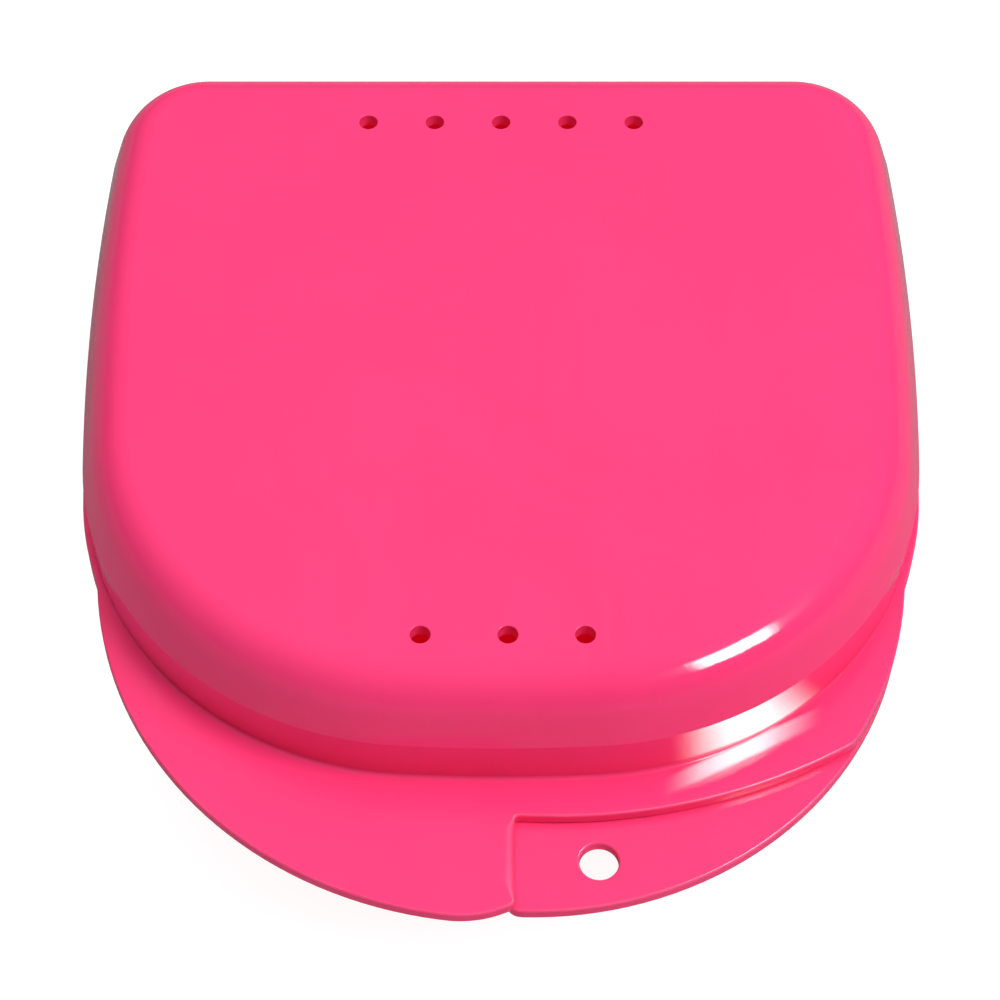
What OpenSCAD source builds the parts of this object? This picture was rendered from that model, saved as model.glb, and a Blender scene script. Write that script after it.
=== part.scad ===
// Denture case: a domed lid on a shallow base, joined by two clip hinges at the rear.
// Each half has half of a round flange in front, so the two thumb tabs lie side by side.
// Millimetres. +Z is up, the front with its tabs faces -Y, and the case stands on Z = 0.

/* [Body outline] */
// Width of the body at its widest
body_w = 80; // [74:0.5:92]
// Length of the body from its front wall to its rear wall
body_l = 76.9; // [70:0.1:90]
// Distance of the widest place in front of the rear wall
widest_in = 28.6; // [24:0.2:34]
// Radius of the slightly bulging side walls
side_r = 260; // [200:5:400]
// Radius of the middle of the front wall
front_r = 150; // [110:5:250]
// Radius of the two front corners
front_corner_r = 32.5; // [28:0.5:35]
// Radius of the two rear corners
rear_corner_r = 9.8; // [9:0.2:14]

/* [Walls] */
// Thickness of all walls
wall_t = 1.5; // [1.2:0.1:2]
// Gap between the closed lid and the rim of the base
seat_gap = 0.1; // [0.05:0.05:0.3]
// Gap all round between the lid and the base's standing edge
fit_gap = 0.25; // [0.2:0.05:0.4]

/* [Lid] */
// Height of the upright band from the flange to the lip
band_h = 5.3; // [4:0.1:8]
// Width of the ledge that the dome leaves on top of the band
ledge_w = 0.5; // [0.3:0.1:1]
// Height of the dome above the lip
dome_h = 6.9; // [5:0.1:9]
// Reach of the dome's round edge inwards
dome_in = 4.6; // [2:0.1:5.2]
// Radius of the fillet at the foot of the band, in front
foot_r = 1.3; // [0.5:0.1:2]
// Radius of that fillet along the sides and rear
side_foot_r = 0.25; // [0.1:0.05:0.3]

/* [Base] */
// Height of the base from its foot to the top of its flange
base_h = 15.2; // [12:0.1:22]
// Radius of the round bottom edge
bottom_r = 4.5; // [3:0.1:6]
// Lean of the side walls on each side, from foot to flange
draft_in = 0.4; // [0.2:0.1:0.8]
// Height of the edge that stands up into the lid
edge_h = 2; // [1.5:0.1:3]
// Radius of the fillet under the base's flange
base_foot_r = 1; // [0.5:0.1:1.2]
// Length of the snap bead on the front of the standing edge
bead_l = 8; // [5:1:8]
// Height by which the bead stands proud
bead_out = 0.15; // [0.1:0.01:0.17]
// Radius of the bead
bead_r = 0.4; // [0.3:0.05:0.5]
// Depth of the groove in the lid's wall that takes the bead
groove_d = 0.15; // [0.1:0.05:0.3]

/* [Flange and thumb tabs] */
// Thickness of the flange on each half
flange_t = 1.3; // [1.2:0.1:1.8]
// Reach of the lid's thumb tab in front of the body
tab_reach = 13.9; // [10:0.1:18]
// How much shorter the base's tab is
base_tab_less = 1.3; // [0:0.1:2]
// Radius of the lid's tab, round the middle of the case
lid_tab_r = 38; // [36:0.1:38.5]
// Radius of the base's tab
base_tab_r = 34.7; // [33.5:0.1:36]
// Place of its centre, to the right of the middle
base_tab_x = 2.8; // [1.5:0.1:3.5]
// Width of the rim along the sides and rear
rim_w = 0.6; // [0.6:0.1:1]
// Width of the shelf in front, on the side that has no tab
shelf_w = 3.9; // [2.5:0.1:6]
// Radius of the shelf's front edge
shelf_r = 52; // [46:1:70]
// Place of the shelf's foremost point, away from the tab
shelf_x = 5; // [0:0.5:8]
// Place of the lid tab's straight end, to the right of the middle
lid_split_x = 1.2; // [0.8:0.1:4]
// Place of the base tab's straight end, to the right of the middle
base_split_x = 0.5; // [0:0.1:0.8]
// Radius of the lid tab's front corner at its straight end
lid_corner_r = 10; // [6.5:0.5:14]
// Length of that corner along the tab's front
lid_corner_l = 6; // [3:0.5:6.5]
// Radius of the base tab's front corner at its straight end
base_corner_r = 1.4; // [1.2:0.1:3]
// Length of that corner along the tab's front
base_corner_l = 1.2; // [0.6:0.1:1.2]
// Radius of the rounded top of the lid tab's straight end
split_edge_r = 1; // [0.4:0.1:1.2]
// Radius of the flange's edges
flange_edge_r = 0.3; // [0.15:0.05:0.35]

/* [Vent holes] */
// Diameter of the vent holes
vent_d = 1.8; // [1.2:0.1:2.4]
// Number of holes in the rear row
vent_count = 5; // [3:1:7]
// Distance between the holes of the rear row
vent_pitch = 6.6; // [5:0.1:8]
// Distance of the rear row from the rear wall
vent_rear_in = 9.1; // [8:0.1:12]
// Distance of the front row from the front wall
vent_front_in = 7.5; // [7:0.1:12]
// Place of the front row's middle hole, to the right of the middle
vent_mid_x = 0.6; // [-1:0.1:1]
// Distance from the middle hole to the left one
vent_left_step = 7.7; // [5:0.1:9]
// Distance from the middle hole to the right one
vent_right_step = 6.8; // [5:0.1:9]

/* [Lanyard hole] */
// Diameter of the hole in the base's tab
lanyard_d = 3.5; // [2.5:0.1:4.5]
// Distance of its middle from the tab's edge
lanyard_in = 4.4; // [4:0.1:6]
// Place of the hole round the tab, in degrees to the right of the tab's front
lanyard_angle = 11.2; // [8:0.2:30]

/* [Hinge] */
// Distance of each hinge clip from the middle
hinge_x = 20; // [14:0.5:24]
// Width of a clip of the base
clip_w = 5; // [4:0.5:7]
// Width of a lug of the lid
lug_w = 2; // [1.6:0.2:3]
// Radius of the clips and lugs round the hinge line
knuckle_r = 2.4; // [2.2:0.1:2.8]
// Radius of the lid's hinge rods
rod_r = 1.25; // [1:0.05:1.3]
// Clearance between a rod and its clip, on the radius
rod_clear = 0.06; // [0.04:0.01:0.1]
// Clearance between a lug and its clip, on each side
side_clear = 0.25; // [0.15:0.05:0.4]
// Gap between the knuckles and the rims behind the body
hinge_gap = 0.4; // [0.3:0.05:0.8]
// Width of the mouth that a rod snaps in through
mouth_w = 1.9; // [1.6:0.1:2]
// Direction of that mouth, in degrees above the straight rear
mouth_angle = 50; // [30:5:70]
// Height of the lugs' webs on the lid's rear wall
lug_web_h = 5; // [3.5:0.1:6]
// Depth of the clips' webs on the base's rear wall
clip_web_h = 6; // [4:0.5:9]

/* [Hidden] */
$fn = 64;

// Steps of each arc, from the middle of the front to the rear
front_steps = 3;
corner_steps = 26;
side_steps = 8;
rear_steps = 14;
tab_steps = 36;
tab_corner_steps = 6;
// Steps of the round edges, seen from the side
dome_steps = 12;
bottom_steps = 8;
fillet_steps = 4;
edge_steps = 3;
// How far one solid runs into the next, or a cut runs past a face
bite = 0.3;

plastic = [0.996, 0.302, 0.506];
plastic_base = [0.976, 0.271, 0.475];

// Places along Y, with the middle of the whole length at 0
total_l = tab_reach + body_l + rim_w + hinge_gap + 2 * knuckle_r;
front_y = tab_reach - total_l / 2;
rear_y = front_y + body_l;
hinge_y = total_l / 2 - knuckle_r;
// Heights
lid_z = base_h + seat_gap;
hinge_z = base_h + seat_gap / 2;
lip_z = flange_t + band_h;
lid_h = lip_z + dome_h;
// The base's wall runs up inside the lid's
base_in = wall_t + fit_gap;
cavity_in = base_in + wall_t;

// Centres of the outline's arcs on the right half, each tangent to its neighbours
side_c = [body_w / 2 - side_r, rear_y - widest_in];
front_c = [0, front_y + front_r];
corner_c = inner_tangent(side_c, side_r - front_corner_r, front_c, front_r - front_corner_r);
rear_c_y = rear_y - rear_corner_r;
rear_c_x = side_c.x + sqrt(pow(side_r - rear_corner_r, 2) - pow(rear_c_y - side_c.y, 2));
rear_c = [rear_c_x, rear_c_y];
corner_start = heading(corner_c - front_c);
corner_end = heading(corner_c - side_c);
side_end = heading(rear_c - side_c);

// Centres of the two tabs' round edges, and of the shelf's
lid_tab_c = [0, front_y - tab_reach + lid_tab_r];
base_tab_c = [base_tab_x, front_y - tab_reach + base_tab_less + base_tab_r];
shelf_c = [shelf_x, front_y - shelf_w + shelf_r];
// Where the node of the base's front flange ends, a little behind the body's front wall
tab_back_y = front_y + bottom_r;

// ---------- Plan outlines ----------

function heading(v) = atan2(v.y, v.x);

function along(angle) = [cos(angle), sin(angle)];

// The lower right crossing of two circles given by centre and radius
function inner_tangent(c1, r1, c2, r2) =
    let (
        d = norm(c2 - c1),
        a = (r1 * r1 - r2 * r2 + d * d) / (2 * d),
        h = sqrt(r1 * r1 - a * a),
        u = (c2 - c1) / d
    )
    c1 + a * u + h * [u.y, -u.x];

// Distance from a point along a unit vector to the far side of a circle round it
function reach_to(from, u, c, r) =
    let (b = u * (c - from), d = norm(c - from))
    b + sqrt(b * b - d * d + r * r);

// Points along an arc, without its last one
function arc(c, r, from, to, steps) =
    [for (i = [0:steps - 1]) c + r * along(from + (to - from) * i / steps)];

// The body's outline, moved inwards, anticlockwise from the middle of the front
function outline(inset) =
    let (
        right = concat(
            arc(front_c, front_r - inset, -90, corner_start, front_steps),
            arc(corner_c, front_corner_r - inset, corner_start, corner_end, corner_steps),
            arc(side_c, side_r - inset, corner_end, side_end, side_steps),
            arc(rear_c, rear_corner_r - inset, side_end, 90, rear_steps),
            [rear_c + [0, rear_corner_r - inset]]
        ),
        last = len(right) - 1
    )
    concat(right, [for (i = [last:-1:1]) [-right[i].x, right[i].y]]);

// The outline flared out by a share of the foot fillet, which fades from the front to the sides
function flared(share) =
    let (wall = outline(0), out = outline(-1))
    [
        for (i = [0:len(wall) - 1])
            let (
                v = wall[i] - lid_tab_c,
                front_share = pow(max(0, -v.y / norm(v)), 2),
                r = side_foot_r + (foot_r - side_foot_r) * front_share
            )
            wall[i] + (out[i] - wall[i]) * r * share
    ];

// The rim on the right, with the shelf in front, which stays inside the tab's circle
function rim_and_shelf(tab_c, tab_r) =
    let (rim = outline(-rim_w), half = (len(rim) - 1) / 2)
    [
        for (i = [0:half])
            let (
                p = rim[i] - tab_c,
                u = p / norm(p),
                shelf = min(reach_to(tab_c, u, shelf_c, shelf_r), tab_r)
            )
            tab_c + u * (p.y < 0 ? max(norm(p), shelf) : norm(p))
    ];

// The rim on the left, going on from the rear to where the tab's circle leaves it
function rim_to_tab(tab_c, tab_r) =
    let (rim = outline(-rim_w), count = len(rim))
    [
        for (i = [ceil(count / 2):count - 1])
            if (norm(rim[i] - tab_c) > tab_r || rim[i].y > tab_c.y) rim[i]
    ];

// The tab on the left, from a point on the rim to its straight end at edge_x
function tab(from, tab_c, tab_r, edge_x, corner_r, corner_l) =
    let (
        start = (360 + heading(from - tab_c)) % 360,
        corner_start = 360 - acos((edge_x - corner_l - tab_c.x) / tab_r),
        c = tab_c + (tab_r - corner_r) * along(corner_start),
        corner_end = 360 - acos((edge_x - c.x) / corner_r),
        edge = arc(tab_c, tab_r, start, corner_start, tab_steps)
    )
    concat(
        [for (i = [1:tab_steps - 1]) edge[i]],
        arc(c, corner_r, corner_start, corner_end, tab_corner_steps),
        [c + corner_r * along(corner_end)]
    );

// The flange of a half whose tab is on the left, anticlockwise from the tab's straight end
function flange_outline(tab_c, tab_r, edge_x, corner_r, corner_l) =
    let (left = rim_to_tab(tab_c, tab_r))
    concat(
        [[edge_x, shelf_front(edge_x)]],
        [for (p = rim_and_shelf(tab_c, tab_r)) if (p.x > edge_x + bite) p],
        left,
        tab(left[len(left) - 1], tab_c, tab_r, edge_x, corner_r, corner_l)
    );

// Place of the shelf's front edge at x
function shelf_front(x) = shelf_c.y - sqrt(shelf_r * shelf_r - pow(x - shelf_c.x, 2));

// An outline moved inwards by d, with every edge kept parallel
function inset_points(points, d) = [
    for (i = [0:len(points) - 1])
        let (
            n = len(points),
            n1 = edge_normal(points[(i + n - 1) % n], points[i]),
            n2 = edge_normal(points[i], points[(i + 1) % n])
        )
        points[i] - d * (n1 + n2) / (1 + n1 * n2)
];

function edge_normal(a, b) = [b.y - a.y, a.x - b.x] / norm(b - a);

// ---------- Side profiles, as [inset, height] ----------

// A quarter ellipse from upright to level, climbing by h while moving inwards by w
function quarter(inset, z, w, h, steps) = [
    for (i = [0:steps])
        let (a = 90 * i / steps)
        [inset + w * (1 - cos(a)), z + h * sin(a)]
];

// The same from level to upright, climbing by h to the height z while moving outwards by w
function quarter_up(inset, z, w, h, steps) =
    [for (i = [steps:-1:0]) let (p = quarter(0, 0, w, h, steps)[i]) [inset + p[0], z - p[1]]];

lid_outer = concat(
    [[0, lip_z - ledge_w / 3], [ledge_w / 3, lip_z]],
    quarter(ledge_w, lip_z + ledge_w / 6, dome_in, dome_h - ledge_w / 6, dome_steps)
);

lid_inner = concat(
    [[wall_t, -bite]],
    quarter(wall_t, lip_z - ledge_w, dome_in, dome_h + ledge_w - wall_t, dome_steps / 2)
);

base_outer = concat(
    quarter_up(base_in + draft_in, bottom_r, bottom_r, bottom_r, bottom_steps),
    [
        [base_in, base_h - flange_t - base_foot_r],
        [base_in - base_foot_r, base_h - flange_t + bite],
        [base_in - base_foot_r, base_h - bite],
        [base_in, base_h - bite],
        [base_in, base_h + edge_h - bite],
        [base_in + bite, base_h + edge_h]
    ]
);

inner_bottom_r = bottom_r - wall_t / 2;
base_inner = concat(
    quarter_up(cavity_in + draft_in, wall_t + inner_bottom_r, inner_bottom_r, inner_bottom_r, bottom_steps / 2),
    [[cavity_in, base_h], [cavity_in, base_h + edge_h + bite]]
);

// ---------- Solids from outlines ----------

// A closed solid through rings of equally many points, capped with fans round the hub
module loft(rings, heights, hub) {
    n = len(rings[0]);
    top = len(rings) - 1;
    low_hub = n * (top + 1);
    points = concat(
        [for (k = [0:top]) for (p = rings[k]) [p.x, p.y, heights[k]]],
        [[hub.x, hub.y, heights[0]], [hub.x, hub.y, heights[top]]]
    );
    walls = [
        for (k = [0:top - 1]) for (i = [0:n - 1])
            let (j = (i + 1) % n)
            [k * n + i, (k + 1) * n + i, (k + 1) * n + j, k * n + j]
    ];
    caps = [
        for (i = [0:n - 1])
            let (j = (i + 1) % n)
            each [[low_hub, i, j], [low_hub + 1, top * n + j, top * n + i]]
    ];
    polyhedron(points, concat(walls, caps));
}

body_hub = [0, (front_y + rear_y) / 2];

// The body's outline carried up along a side profile
module body_loft(profile) {
    loft([for (p = profile) outline(p[0])], [for (p = profile) p[1]], body_hub);
}

// The flange of a half whose tab is on the left, with its edges rounded
module flange_plate(tab_c, tab_r, edge_x, corner_r, corner_l) {
    points = flange_outline(tab_c, tab_r, edge_x, corner_r, corner_l);
    e = flange_edge_r;
    profile = concat(
        quarter_up(0, e, e, e, edge_steps),
        quarter(0, flange_t - e, e, e, edge_steps)
    );
    loft(
        [for (p = profile) inset_points(points, p[0])],
        [for (p = profile) p[1]],
        tab_c - [tab_r / 4, 0]
    );
}

// A web of thickness w across the hinge line, from outline points given as [y, z]
module web(x, w, points) {
    translate([x + w / 2, 0, 0])
        rotate([90, 0, -90])
            linear_extrude(height = w) polygon([for (p = points) [-p[0], p[1]]]);
}

// A round bar on the hinge line
module hinge_bar(x, r, w) {
    translate([x - w / 2, hinge_y, hinge_z]) rotate([0, 90, 0]) cylinder(h = w, r = r);
}

// A bar across the front of the standing edge, round the bead's line
module bead_bar(r, l) {
    translate([-l / 2, front_y + base_in - bead_out + bead_r, base_h + edge_h / 2])
        rotate([0, 90, 0]) cylinder(h = l, r = r);
}

// ---------- Lid ----------

// The domed shell without its hollow
module lid_body() {
    foot = quarter_up(0, 1, 1, 1, fillet_steps);
    rings = concat(
        [flared(1)],
        [for (p = foot) flared(p[0])],
        [for (p = lid_outer) outline(p[0])]
    );
    heights = concat(
        [flange_t - bite],
        [for (p = foot) flange_t + foot_r * p[1]],
        [for (p = lid_outer) p[1]]
    );
    loft(rings, heights, body_hub);
}

module lid_lug(x) {
    hinge_bar(x, knuckle_r, lug_w);
    web(x, lug_w, [
        [rear_y - wall_t / 2, lid_z + bite / 2],
        [hinge_y, lid_z + bite / 2],
        [hinge_y, lid_z + knuckle_r - bite],
        [rear_y - wall_t / 2, lid_z + lug_web_h]
    ]);
}

// Two lugs with a rod between them
module lid_hinge(x) {
    reach = clip_w / 2 + side_clear + lug_w / 2;
    lid_lug(x - reach);
    lid_lug(x + reach);
    hinge_bar(x, rod_r, 2 * reach);
}

module vent(x, y) {
    translate([x, y, lid_h - wall_t - bite]) cylinder(h = wall_t + 2 * bite, d = vent_d);
}

module vents() {
    for (i = [0:vent_count - 1])
        vent((i - (vent_count - 1) / 2) * vent_pitch, rear_y - vent_rear_in);
    for (x = [vent_mid_x - vent_left_step, vent_mid_x, vent_mid_x + vent_right_step])
        vent(x, front_y + vent_front_in);
}

// What rounds off the top of the tab's straight end
module split_edge_cut() {
    r = split_edge_r;
    length = tab_reach - shelf_w;
    translate([lid_split_x - r, shelf_front(lid_split_x) - flange_edge_r - length, flange_t - r])
        difference() {
            cube([r + bite, length, r + bite]);
            translate([0, -bite, 0])
                rotate([-90, 0, 0]) cylinder(h = length + 2 * bite, r = r);
        }
}

module lid() {
    color(plastic) {
        difference() {
            union() {
                translate([0, 0, lid_z]) {
                    lid_body();
                    flange_plate(lid_tab_c, lid_tab_r, lid_split_x, lid_corner_r, lid_corner_l);
                }
                lid_hinge(-hinge_x);
                lid_hinge(hinge_x);
            }
            translate([0, 0, lid_z]) {
                body_loft(lid_inner);
                vents();
                split_edge_cut();
            }
            bead_bar(fit_gap - bead_out + bead_r + groove_d, bead_l + 2 * fit_gap);
        }
    }
}

// ---------- Base ----------

// A clip that takes one of the lid's rods, open where the rod snaps in
module base_clip(x) {
    web_y = rear_y - cavity_in + wall_t / 2;
    difference() {
        union() {
            hinge_bar(x, knuckle_r, clip_w);
            web(x, clip_w, [
                [web_y, base_h - bite / 2],
                [web_y, base_h - clip_web_h],
                [hinge_y, base_h - knuckle_r + bite],
                [hinge_y, base_h - bite / 2]
            ]);
        }
        hinge_bar(x, rod_r + rod_clear, clip_w + 2 * bite);
        translate([x, hinge_y, hinge_z])
            rotate([mouth_angle, 0, 0])
                translate([-clip_w / 2 - bite, 0, -mouth_w / 2])
                    cube([clip_w + 2 * bite, 2 * knuckle_r, mouth_w]);
    }
}

// The lanyard hole, a straight bore with both mouths broken
module lanyard_hole() {
    r = lanyard_d / 2;
    e = flange_edge_r;
    place = base_tab_c + (base_tab_r - lanyard_in) * along(lanyard_angle - 90);
    translate([place.x, place.y, base_h - flange_t]) {
        translate([0, 0, -bite]) cylinder(h = flange_t + 2 * bite, r = r);
        translate([0, 0, flange_t - e]) cylinder(h = e + bite, r1 = r, r2 = r + e + bite);
        translate([0, 0, -bite]) cylinder(h = e + bite, r1 = r + e + bite, r2 = r);
    }
}

// The whole flange of the base, with its tab on the right
module base_flange() {
    tab_c = [-base_tab_c.x, base_tab_c.y];
    translate([0, 0, base_h - flange_t])
        mirror([1, 0, 0])
            flange_plate(tab_c, base_tab_r, -base_split_x, base_corner_r, base_corner_l);
}

// The room in front of the tray's rim, where the flange is a node of its own
module front_room() {
    low = base_h - flange_t - bite;
    high = base_h + bite;
    rim = outline(-rim_w);
    difference() {
        translate([-body_w, tab_back_y - body_w, low]) cube([2 * body_w, body_w, high - low]);
        loft([rim, rim], [low - bite, high + bite], body_hub);
    }
}

module base() {
    color(plastic_base) {
        difference() {
            union() {
                body_loft(base_outer);
                base_flange();
                bead_bar(bead_r, bead_l);
            }
            body_loft(base_inner);
            front_room();
        }
        base_clip(-hinge_x);
        base_clip(hinge_x);
    }
}

// The front of the base's flange with its thumb tab, moulded in one with the base
module base_tab() {
    color(plastic_base)
        difference() {
            intersection() {
                base_flange();
                front_room();
            }
            lanyard_hole();
        }
}

lid();
base();
base_tab();
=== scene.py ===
"""Denture case dressed for looks: a domed lid on a shallow tray, moulded in glossy coral-pink plastic.

The case's own sizes are in millimetres, in the frame of the CAD part, and become metres where a mesh is made.
Each half is drawn as one smooth skin: lines round the case, swept along the half's section, with the
surface's true direction kept at every point, so that the plastic's highlights run clean.
"""
import logging
import math
from dataclasses import dataclass, replace
from enum import Enum
from typing import Callable, Sequence, Union

import bpy
import numpy as np
from mathutils import Matrix, Vector
from mathutils.geometry import delaunay_2d_cdt


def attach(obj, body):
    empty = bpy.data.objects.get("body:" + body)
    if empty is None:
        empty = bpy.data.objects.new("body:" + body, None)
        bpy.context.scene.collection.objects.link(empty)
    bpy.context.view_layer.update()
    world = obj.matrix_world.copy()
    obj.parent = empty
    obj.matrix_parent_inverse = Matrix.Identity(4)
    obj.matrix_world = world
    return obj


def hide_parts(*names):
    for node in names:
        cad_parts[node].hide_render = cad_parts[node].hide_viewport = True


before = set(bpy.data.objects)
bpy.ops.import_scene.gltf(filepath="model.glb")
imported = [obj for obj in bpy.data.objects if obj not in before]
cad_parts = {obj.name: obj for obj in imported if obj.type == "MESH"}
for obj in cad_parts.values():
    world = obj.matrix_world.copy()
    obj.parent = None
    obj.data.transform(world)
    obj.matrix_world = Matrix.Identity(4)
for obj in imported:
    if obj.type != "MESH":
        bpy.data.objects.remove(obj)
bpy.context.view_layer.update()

MM = 0.001
FLIP = np.array([-1.0, 1.0])
WHITE = (1.0, 1.0, 1.0)
Spread = Union[float, np.ndarray]
Pair = tuple[float, float]
Triple = tuple[float, float, float]
Piece = bpy.types.Object
Socket = bpy.types.NodeSocket

logging.basicConfig(level=logging.INFO, format="%(name)s: %(message)s")
LOG = logging.getLogger("denture_case")


def placed(name: str, data: bpy.types.ID) -> Piece:
    """Makes an object of its data and puts it into the scene."""
    made = bpy.data.objects.new(name, data)
    bpy.context.scene.collection.objects.link(made)
    return made


class Half(Enum):
    """The two mouldings of the case, by their CAD nodes, of which the first also names the body."""

    LID = ("lid",)
    BASE = ("base", "base_tab")

    @property
    def body(self) -> str:
        """The name of the body that this half moves with."""
        return self.value[0]

    @property
    def plastic(self) -> str:
        """The name of this half's plastic."""
        return f"{self.body}_plastic"


class Hand(Enum):
    """The two sides of the case, by the sign of their place along X."""

    LEFT = -1
    RIGHT = 1


# -------- lines round the case


def heading(v: np.ndarray) -> float:
    """The direction of a plan vector, in degrees anticlockwise from +X."""
    return math.degrees(math.atan2(v[1], v[0]))


def along(degrees: Spread) -> np.ndarray:
    """Unit vectors in the given directions."""
    turned = np.radians(degrees)
    return np.stack([np.cos(turned), np.sin(turned)], axis=-1)


def arc(centre: np.ndarray, r: float, start: float, end: float, steps: int, whole: bool = False) -> np.ndarray:
    """Points along an arc between two directions in degrees, without its last one unless it's wanted whole."""
    return centre + r * along(start + (end - start) * np.arange(steps + whole) / steps)


def eased(x: Spread) -> Spread:
    """A smooth rise from 0 to 1 while x goes from 0 to 1."""
    x = np.clip(x, 0.0, 1.0)
    return x * x * (3.0 - 2.0 * x)


@dataclass(frozen=True)
class Loop:
    """A closed line with, at each point, the direction that leads out of the plastic."""

    points: np.ndarray
    outward: np.ndarray

    def at(self, out: Spread) -> np.ndarray:
        """The line moved outwards by one distance, or by a distance for each point."""
        return self.points + self.outward * np.reshape(out, (-1, 1))

    def across_front(self, half: float) -> np.ndarray:
        """1 along the front, up to half from its middle, and 0 elsewhere, with a short run between them."""
        x, y = self.points.T
        run = 0.5
        return eased((half - np.abs(x)) / run) * (y < 0.0)

    def mirrored(self) -> "Loop":
        """The same line on the other side of the case, still anticlockwise."""
        return Loop((self.points * FLIP)[::-1], (self.outward * FLIP)[::-1])

    @classmethod
    def circle(cls, centre: np.ndarray, radius: float, steps: int, hole: bool = False) -> "Loop":
        """The line round a disc, or that of a hole, which runs clockwise and has its axis as outwards."""
        side = -1.0 if hole else 1.0
        spokes = along(side * 360.0 * np.arange(steps) / steps)
        return cls(centre + radius * spokes, side * spokes)

    @classmethod
    def traced(cls, corners: np.ndarray, softness: float, step: float = 0.1) -> "Loop":
        """A line through many points with its sharp corners softened.

        It is walked in equal steps, blurred along its own length, and thinned out where it runs straight.

        Args:
            corners: The points, anticlockwise.
            softness: How far the blur reaches, as a standard deviation in millimetres.
            step: Length of the steps in which it is walked.

        Returns:
            The softened line.
        """
        closed = np.vstack([corners, corners[:1]])
        run = np.concatenate([[0.0], np.cumsum(np.linalg.norm(np.diff(closed, axis=0), axis=1))])
        count = int(run[-1] / step)
        places = run[-1] * np.arange(count) / count
        walked = np.interp(places, run, closed[:, 0]) + 1j * np.interp(places, run, closed[:, 1])
        waves = 2.0 * np.pi * np.fft.fftfreq(count, run[-1] / count)
        soft = np.fft.ifft(np.fft.fft(walked) * np.exp(-0.5 * (waves * softness) ** 2))
        tangent = np.roll(soft, -1) - np.roll(soft, 1)
        tangent /= np.abs(tangent)
        kept, last = [0], 0
        most_turned, most_apart = math.radians(2.6), 1.3
        for i in range(1, count):
            turned = abs(np.angle(tangent[i] / tangent[last]))
            if turned > most_turned or (i - last) * step > most_apart:
                kept.append(i)
                last = i
        spots, lines = soft[kept], tangent[kept]
        return cls(np.stack([spots.real, spots.imag], axis=1), np.stack([lines.imag, -lines.real], axis=1))


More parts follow.
